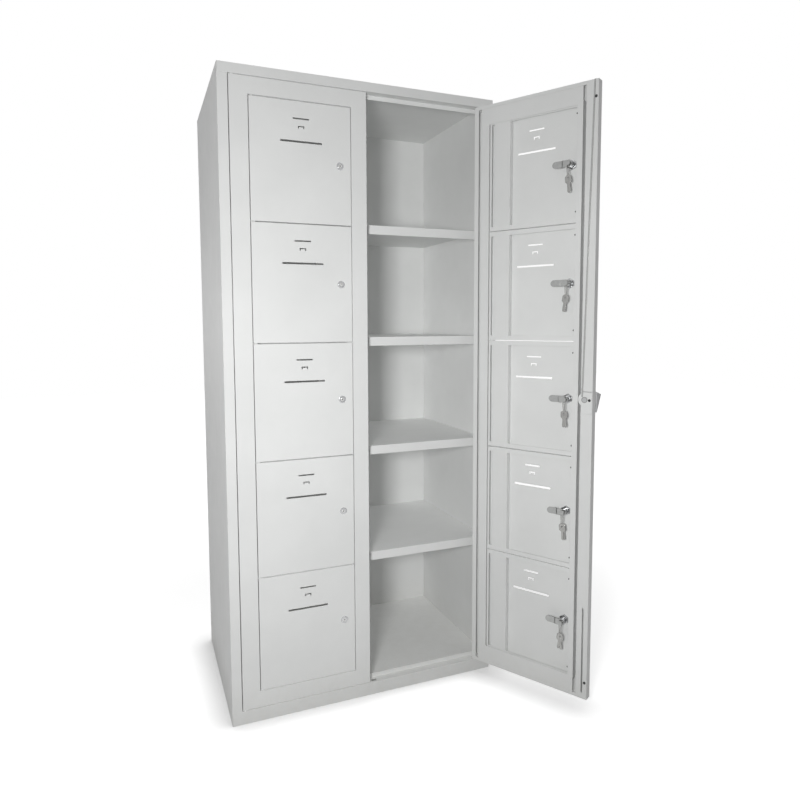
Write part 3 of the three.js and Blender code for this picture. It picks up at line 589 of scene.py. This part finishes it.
def turned(profile_mm: Sequence[tuple[float, float]], steps: int = 40) -> bmesh.types.BMesh:
    """Turns a closed profile round the Y axis.

    Args:
        profile_mm: Radius and depth of each corner, in order round the profile.
        steps: Steps of the full turn.

    Returns:
        The turned mesh at the origin.
    """
    bm = bmesh.new()
    corners = [bm.verts.new((radius * MM, depth * MM, 0.0)) for radius, depth in profile_mm]
    closed = profile_mm[0][0] > 0
    count = len(corners) if closed else len(corners) - 1
    edges = [bm.edges.new((corners[i], corners[(i + 1) % len(corners)])) for i in range(count)]
    bmesh.ops.spin(
        bm,
        geom=corners + edges,
        cent=(0, 0, 0),
        axis=(0, 1, 0),
        angle=2 * math.pi,
        steps=steps,
        use_merge=True,
        use_duplicate=False,
    )
    bmesh.ops.remove_doubles(bm, verts=bm.verts, dist=SPIN_WELD_M)
    bmesh.ops.recalc_face_normals(bm, faces=bm.faces)
    shade(bm)
    return bm


def merge_into(target: bmesh.types.BMesh, extra: bmesh.types.BMesh) -> None:
    """Adds one mesh to another and frees it.

    Args:
        target: Mesh that grows.
        extra: Mesh that is added.
    """
    mesh = bpy.data.meshes.new("part")
    extra.to_mesh(mesh)
    extra.free()
    target.from_mesh(mesh)
    bpy.data.meshes.remove(mesh)


def extruded_outline(
    outline_mm: Sequence[tuple[float, float]], start_mm: float, depth_mm: float
) -> bmesh.types.BMesh:
    """Draws an X-Z outline out along +Y.

    Args:
        outline_mm: Corners in order.
        start_mm: Depth at which the outline starts.
        depth_mm: Length of the extrusion.

    Returns:
        The closed prism.
    """
    bm = bmesh.new()
    face = bm.faces.new([bm.verts.new((x * MM, start_mm * MM, z * MM)) for x, z in outline_mm])
    moved = bmesh.ops.extrude_face_region(bm, geom=[face], use_keep_orig=True)
    verts = [item for item in moved["geom"] if isinstance(item, bmesh.types.BMVert)]
    bmesh.ops.translate(bm, vec=(0, depth_mm * MM, 0), verts=verts)
    bmesh.ops.recalc_face_normals(bm, faces=bm.faces)
    return bm


@dataclass(frozen=True)
class LeafPlace:
    """Where a master door hangs, and how a point of the closed leaf comes to its place at rest.

    Lengths run from the hinge edge and depths from the front face, in millimetres.
    """

    label: str
    side: int
    rest_deg: float
    half_opening: float = 380.5
    front: float = -265.0
    width: float = 379.5
    pin_inset: float = 9.0
    pin_depth: float = 6.0
    field_top: float = 1724.5
    pitch: float = 327.4
    lock_inset: float = 79.0

    def matrix(self, along: float, depth: float, level: float) -> Matrix:
        """Places something built at the origin.

        Args:
            along: Length from the hinge edge.
            depth: Depth behind the front face.
            level: Height above the floor.

        Returns:
            The matrix from the origin to the place at rest.
        """
        edge = self.side * self.half_opening
        pin = Vector(((edge - self.side * self.pin_inset) * MM, (self.front + self.pin_depth) * MM, 0))
        closed = Vector(((edge - self.side * along) * MM, (self.front + depth) * MM, level * MM))
        swing = Matrix.Rotation(self.side * math.radians(self.rest_deg), 4, "Z")
        return Matrix.Translation(pin) @ swing @ Matrix.Translation(closed - pin)

    def lock_level(self, tier: int) -> float:
        """Height of a small door's lock."""
        return self.field_top - (tier - 0.5) * self.pitch

    @property
    def lock_along(self) -> float:
        """Length from the hinge edge to the locks."""
        return self.width - self.lock_inset

    @property
    def body(self) -> str:
        """Body of the leaf."""
        return f"{self.label}_leaf"

    def door_body(self, tier: int) -> str:
        """Body of a small door."""
        return f"{self.label}_box_door_{tier}"

    def cam_body(self, tier: int) -> str:
        """Body of a lock's cam."""
        return f"{self.label}_cam_{tier}"


LEFT = LeafPlace("left", -1, 0.0)
RIGHT = LeafPlace("right", 1, 120.0)


@dataclass
class Carcass:
    """Folded sheet-steel body with its shelves."""

    finishes: Finishes
    edge_mm: float = 0.45

    def build(self) -> None:
        """Eases the folded edges of every panel and shelf."""
        panels = ["side_panel_left", "side_panel_right", "top_panel", "bottom_panel", "back_panel"]
        panels += ["centre_partition", "base_stiffener"]
        panels += [f"shelf_{leaf.label}_{tier}" for leaf in (LEFT, RIGHT) for tier in range(1, 5)]
        for node in panels:
            bm = eased_copy(node, self.edge_mm, 2)
            finish_piece(f"{node}_sheet", bm, self.finishes.carcass, "carcass", [node])


@dataclass
class MasterLeaf:
    """A master door: folded skin, inner frame and rubber buffers."""

    place: LeafPlace
    finishes: Finishes
    edge_mm: float = 0.45
    buffers: tuple[tuple[float, float], ...] = ((6.5, 1726.0), (8.6, 907.0), (6.5, 90.0))
    buffer_dome: Profile = ((0, 0), (3.9, 0), (4.0, 0.8), (3.5, 1.7), (2.3, 2.3), (0, 2.5))
    leaf_depth: float = 24.5

    def build(self) -> None:
        """Builds the skin, frame and buffers."""
        label = self.place.label
        for node in (f"master_door_{label}", f"inner_frame_{label}"):
            bm = eased_copy(node, self.edge_mm, 2)
            finish_piece(f"{node}_sheet", bm, self.finishes.leaf, self.place.body, [node])
        self.build_buffers()

    def build_buffers(self) -> None:
        """Sets the domed rubber buffers on the free edge's return."""
        for index, (inset, level) in enumerate(self.buffers, start=1):
            bm = turned(self.buffer_dome, 20)
            spot = self.place.matrix(self.place.width - inset, self.leaf_depth, level)
            bmesh.ops.transform(bm, matrix=spot, verts=bm.verts)
            name = f"buffer_{self.place.label}_{index}"
            finish_piece(name, bm, self.finishes.rubber, self.place.body)


@dataclass
class BoxDoor:
    """A small door with its cam lock."""

    place: LeafPlace
    tier: int
    finishes: Finishes
    edge_mm: float = 0.38
    door_depth: float = 20.0
    buffer_drop: float = 30.0
    buffer_inset: float = 59.5
    half_height: float = 162.1
    buffer_dome: Profile = ((0, 0), (2.3, 0), (2.3, 0.9), (1.7, 1.7), (0, 2.1))
    rose: Profile = (
        (5.5, -2.3),
        (6.2, -2.5),
        (8.6, -2.5),
        (9.7, -2.1),
        (10.25, -1.3),
        (10.25, -0.3),
        (9.0, -0.3),
    )
    bore_radius: float = 5.5
    barrel_radius: float = 9.0
    thread_root: float = 8.7
    thread_start: float = 9.2
    thread_pitch: float = 1.0
    thread_stop: float = 1.7
    barrel_end: float = 27.7
    barrel_bevel: float = 0.6
    barrel_tip_radius: float = 8.5
    nut_radius: float = 14.0
    nut_start: float = 1.3
    nut_thickness: float = 7.5
    nut_edge: float = 0.5
    cam_edge: float = 0.3
    cam_least: float = 3.0
    cap_ring: Profile = ((2.4, -2.18), (2.4, -2.36), (4.8, -2.42), (5.1, -2.3), (5.1, -2.18))

    def build(self) -> None:
        """Builds the pan, buffers, barrel and cam."""
        label = self.place.label
        node = f"small_door_{label}_{self.tier}"
        body = self.place.door_body(self.tier)
        bm = eased_copy(node, self.edge_mm, 2)
        finish_piece(f"{node}_pan", bm, self.finishes.box_door, body, [node])
        self.build_buffers(body)
        self.build_barrel(body)
        self.build_cam()

    def at_lock(self) -> Matrix:
        """Place of the lock's axis on the door's front face."""
        return self.place.matrix(self.place.lock_along, 0.0, self.place.lock_level(self.tier))

    def build_buffers(self, body: str) -> None:
        """Sets two small buffers on the lock-side return.

        Args:
            body: Body of the door.
        """
        level = self.place.lock_level(self.tier)
        drop = self.half_height - self.buffer_drop
        for word, height in (("upper", level + drop), ("lower", level - drop)):
            bm = turned(self.buffer_dome, 16)
            spot = self.place.matrix(self.place.width - self.buffer_inset, self.door_depth, height)
            bmesh.ops.transform(bm, matrix=spot, verts=bm.verts)
            name = f"door_buffer_{self.place.label}_{self.tier}_{word}"
            finish_piece(name, bm, self.finishes.rubber, body)

    def build_barrel(self, body: str) -> None:
        """Turns the barrel with its rounded rose, thread rings and hexagon nut.

        Args:
            body: Body of the door.
        """
        outer = self.barrel_radius
        depth = self.thread_start
        profile = [*self.rose, (outer, depth)]
        while depth < self.barrel_end - self.thread_stop:
            profile += [
                (self.thread_root, depth + 0.4 * self.thread_pitch),
                (outer, depth + 0.8 * self.thread_pitch),
                (outer, depth + self.thread_pitch),
            ]
            depth += self.thread_pitch
        profile += [
            (outer, self.barrel_end - self.barrel_bevel),
            (self.barrel_tip_radius, self.barrel_end),
            (self.bore_radius, self.barrel_end),
        ]
        bm = turned(profile)
        angles = [math.radians(60 * corner + 30) for corner in range(6)]
        hexagon = [(self.nut_radius * math.cos(a), self.nut_radius * math.sin(a)) for a in angles]
        nut = extruded_outline(hexagon, self.nut_start, self.nut_thickness)
        result = bmesh.ops.bevel(
            nut,
            geom=nut.edges[:],
            offset=self.nut_edge * MM,
            offset_type="OFFSET",
            affect="EDGES",
            segments=2,
            profile=BEVEL_PROFILE,
            material=-1,
        )
        shade(nut, result["faces"])
        merge_into(bm, nut)
        bmesh.ops.transform(bm, matrix=self.at_lock(), verts=bm.verts)
        node = f"lock_barrel_{self.place.label}_{self.tier}"
        finish_piece(f"{node}_turned", bm, self.finishes.chrome, body, [node])

    def build_cam(self) -> None:
        """Eases the cranked cam and turns the bright cap on its plug's face."""
        node = f"lock_cam_{self.place.label}_{self.tier}"
        bm = eased_copy(node, self.cam_edge, 2, self.cam_least)
        body = self.place.cam_body(self.tier)
        finish_piece(f"{node}_cranked", bm, self.finishes.zinc, body, [node])
        cap = turned(self.cap_ring)
        bmesh.ops.transform(cap, matrix=self.at_lock(), verts=cap.verts)
        finish_piece(f"lock_cap_{self.place.label}_{self.tier}", cap, self.finishes.cap, body)


@dataclass
class KeySet:
    """Two keys on a wire loop, hung on a lock inside the open leaf."""

    tier: int
    finishes: Finishes
    edge_mm: float = 0.28

    def build(self) -> None:
        """Eases the stamped keys and their loop."""
        node = f"key_set_right_{self.tier}"
        bm = eased_copy(node, self.edge_mm, 2)
        finish_piece(f"{node}_stamped", bm, self.finishes.key, f"right_keys_{self.tier}", [node])


@dataclass
class LockGear:
    """Handle, hub, rods and lock plate of the right leaf."""

    finishes: Finishes
    grip_edge: float = 2.2
    grip_least: float = 20.0
    hub_edge: float = 0.4
    hub_least: float = 2.0
    rod_edges: tuple[tuple[str, float], ...] = (("upper_rod", 0.4), ("lower_rod", 0.8))
    plate_edge: float = 0.35

    def build(self) -> None:
        """Builds the gear."""
        grip = eased_copy("handle", self.grip_edge, 4, self.grip_least)
        finish_piece("handle_grip", grip, self.finishes.handle, "handle", ["handle"])
        hub = eased_copy("lock_hub", self.hub_edge, 2, self.hub_least)
        finish_piece("lock_hub_turned", hub, self.finishes.zinc, "handle", ["lock_hub"])
        for node, width_mm in self.rod_edges:
            bar = eased_copy(node, width_mm, 3)
            finish_piece(f"{node}_bar", bar, self.finishes.zinc, node, [node])
        plate = eased_copy("lock_plate", self.plate_edge, 2)
        finish_piece("lock_plate_sheet", plate, self.finishes.leaf, RIGHT.body, ["lock_plate"])


@dataclass(frozen=True)
class Fill:
    """A weak shadowless lamp that stands for light thrown back by pale walls."""

    name: str
    heading: tuple[float, float, float]
    strength: float

    def build(self) -> None:
        """Sets the lamp so that it shines along its heading."""
        data = bpy.data.lights.new(self.name, "SUN")
        data.energy = self.strength
        data.use_shadow = False
        obj = bpy.data.objects.new(self.name, data)
        obj.matrix_world = Vector(self.heading).to_track_quat("-Z", "Y").to_matrix().to_4x4()
        bpy.context.scene.collection.objects.link(obj)


@dataclass
class Studio:
    """Pale floor, white surroundings, a small soft box, weak fills and the camera."""

    eye: Vector = field(default_factory=lambda: Vector((-0.6267, -1.9943, 1.1239)))
    yaw_deg: float = -21.898
    pitch_deg: float = -4.532
    roll_deg: float = -0.264
    focal_px: float = 633.13
    centre_px: tuple[float, float] = (390.10, 373.25)
    frame_px: float = 800.0
    sensor_mm: float = 36.0
    near_m: float = 0.05
    lamp_at: Vector = field(default_factory=lambda: Vector((-0.98, -2.05, 1.15)))
    lamp_aim: Vector = field(default_factory=lambda: Vector((-0.1, -0.2, 0.85)))
    lamp_size_m: float = 0.3
    lamp_watts: float = 19.5
    lamp_spread_deg: float = 140.0
    sky: float = 0.19
    fills: tuple[Fill, ...] = (
        Fill("left_fill", (0.5, -0.866, 0.0), 0.2),
        Fill("upper_fill", (0.0, 0.2, -0.98), 0.45),
        Fill("lower_fill", (0.0, 0.2, 0.98), 0.15),
    )
    floor_half_m: float = 9.0
    floor_colour: str = "#ededed"
    floor_bounce: str = "#a0a0a0"
    shadow_m: tuple[float, float] = (0.7, 1.9)
    floor_lift: tuple[float, float] = (0.6, 0.8)
    contact_m: float = 0.1
    contact_least: float = 0.1
    contact_from: float = 0.5
    contact_samples: int = 8

    def build(self) -> None:
        """Builds the floor, world, lamps and camera."""
        self.build_floor()
        self.build_world()
        self.build_lamp()
        for fill in self.fills:
            fill.build()
        self.build_camera()

    def seen(self, tree: bpy.types.NodeTree) -> bpy.types.NodeSocket:
        """Factor that is 1 where the camera, a reflection or glass looks.

        Args:
            tree: Node tree that needs the factor.

        Returns:
            The factor's socket.
        """
        path = add_node(tree, "ShaderNodeLightPath")
        mirror = add_node(
            tree,
            "ShaderNodeMath",
            {"operation": "MAXIMUM"},
            {0: path.outputs["Is Glossy Ray"], 1: path.outputs["Is Transmission Ray"]},
        )
        both = add_node(
            tree,
            "ShaderNodeMath",
            {"operation": "MAXIMUM"},
            {0: path.outputs["Is Camera Ray"], 1: mirror.outputs["Value"]},
        )
        return both.outputs["Value"]

    def build_floor(self) -> None:
        """Lays a pale floor that keeps the cabinet's shadow."""
        bm = bmesh.new()
        bmesh.ops.create_grid(bm, x_segments=2, y_segments=2, size=self.floor_half_m)
        mesh = bpy.data.meshes.new("floor")
        bm.to_mesh(mesh)
        bm.free()
        material, tree = new_material("pale_floor")
        matt = add_node(tree, "ShaderNodeBsdfDiffuse", inputs={"Color": linear(self.floor_colour)})
        # What the floor throws back at the cabinet is that of a mid-grey studio floor.
        dim = add_node(tree, "ShaderNodeBsdfDiffuse", inputs={"Color": linear(self.floor_bounce)})
        # Far from the cabinet the lamp fades, so the floor's own white takes over there.
        place = add_node(tree, "ShaderNodeTexCoord").outputs["Object"]
        away = add_node(tree, "ShaderNodeVectorMath", {"operation": "LENGTH"}, {0: place})
        white = add_node(
            tree,
            "ShaderNodeMapRange",
            {"interpolation_type": "SMOOTHSTEP"},
            {
                "Value": away.outputs["Value"],
                "From Min": self.shadow_m[0],
                "From Max": self.shadow_m[1],
                "To Min": self.floor_lift[0],
                "To Max": self.floor_lift[1],
            },
        )
        # Close to the cabinet the floor sees less of the white room, which leaves a soft contact shadow.
        open_sky = add_node(
            tree,
            "ShaderNodeAmbientOcclusion",
            {"samples": self.contact_samples},
            {"Distance": self.contact_m},
        )
        contact = add_node(
            tree,
            "ShaderNodeMapRange",
            inputs={
                "Value": open_sky.outputs["AO"],
                "From Min": self.contact_from,
                "To Min": self.contact_least,
            },
        )
        strength = add_node(
            tree,
            "ShaderNodeMath",
            {"operation": "MULTIPLY"},
            {0: white.outputs["Result"], 1: contact.outputs["Result"]},
        )
        lift = add_node(
            tree,
            "ShaderNodeEmission",
            inputs={"Color": linear("#ffffff"), "Strength": strength.outputs["Value"]},
        )
        lit = add_node(
            tree,
            "ShaderNodeAddShader",
            inputs={0: matt.outputs["BSDF"], 1: lift.outputs["Emission"]},
        )
        mix = add_node(
            tree,
            "ShaderNodeMixShader",
            inputs={0: self.seen(tree), 1: dim.outputs["BSDF"], 2: lit.outputs["Shader"]},
        )
        add_node(tree, "ShaderNodeOutputMaterial", inputs={"Surface": mix.outputs["Shader"]})
        mesh.materials.append(material)
        floor = bpy.data.objects.new("floor", mesh)
        bpy.context.scene.collection.objects.link(floor)

    def build_world(self) -> None:
        """Makes the surroundings white to the eye and a soft fill to the object."""
        world = bpy.data.worlds.new("white_room")
        bpy.context.scene.world = world
        world.use_nodes = True
        tree = world.node_tree
        tree.nodes.clear()
        pure = linear("#ffffff")
        fill = add_node(tree, "ShaderNodeBackground", inputs={"Color": pure, "Strength": self.sky})
        white = add_node(tree, "ShaderNodeBackground", inputs={"Color": pure, "Strength": 1.0})
        mix = add_node(
            tree,
            "ShaderNodeMixShader",
            inputs={0: self.seen(tree), 1: fill.outputs["Background"], 2: white.outputs["Background"]},
        )
        add_node(tree, "ShaderNodeOutputWorld", inputs={"Surface": mix.outputs["Shader"]})

    def build_lamp(self) -> None:
        """Sets a small soft box in front of the cabinet, at the left of the camera."""
        data = bpy.data.lights.new("soft_box", "AREA")
        data.shape = "SQUARE"
        data.size = self.lamp_size_m
        data.energy = self.lamp_watts
        data.spread = math.radians(self.lamp_spread_deg)
        obj = bpy.data.objects.new("soft_box", data)
        turn = (self.lamp_aim - self.lamp_at).to_track_quat("-Z", "Y").to_matrix().to_4x4()
        obj.matrix_world = Matrix.Translation(self.lamp_at) @ turn
        bpy.context.scene.collection.objects.link(obj)

    def build_camera(self) -> None:
        """Sets the camera at the photograph's viewpoint."""
        yaw, pitch, roll = (math.radians(a) for a in (self.yaw_deg, self.pitch_deg, self.roll_deg))
        across = Vector((math.cos(yaw), math.sin(yaw), 0))
        level = Vector((-math.sin(yaw), math.cos(yaw), 0))
        forward = level * math.cos(pitch) + Vector((0, 0, math.sin(pitch)))
        upward = Vector((0, 0, math.cos(pitch))) - level * math.sin(pitch)
        right = across * math.cos(roll) + upward * math.sin(roll)
        top = upward * math.cos(roll) - across * math.sin(roll)
        data = bpy.data.cameras.new("camera")
        data.sensor_fit = "HORIZONTAL"
        data.sensor_width = self.sensor_mm
        data.lens = self.sensor_mm * self.focal_px / self.frame_px
        data.shift_x = (self.frame_px / 2 - self.centre_px[0]) / self.frame_px
        data.shift_y = (self.centre_px[1] - self.frame_px / 2) / self.frame_px
        data.clip_start = self.near_m
        camera = bpy.data.objects.new("camera", data)
        turn = Matrix((right, top, -forward)).transposed().to_4x4()
        camera.matrix_world = Matrix.Translation(self.eye) @ turn
        bpy.context.scene.collection.objects.link(camera)
        bpy.context.scene.camera = camera


def main() -> None:
    """Builds the locker and its studio."""
    logging.basicConfig(level=logging.INFO, format="%(name)s %(message)s")
    bpy.context.scene.view_settings.view_transform = "Standard"
    finishes = Finishes()
    Carcass(finishes).build()
    for place in (LEFT, RIGHT):
        MasterLeaf(place, finishes).build()
        for tier in TIERS:
            BoxDoor(place, tier, finishes).build()
    for tier in TIERS:
        KeySet(tier, finishes).build()
    LockGear(finishes).build()
    Studio().build()


if __name__ == "__main__":
    main()
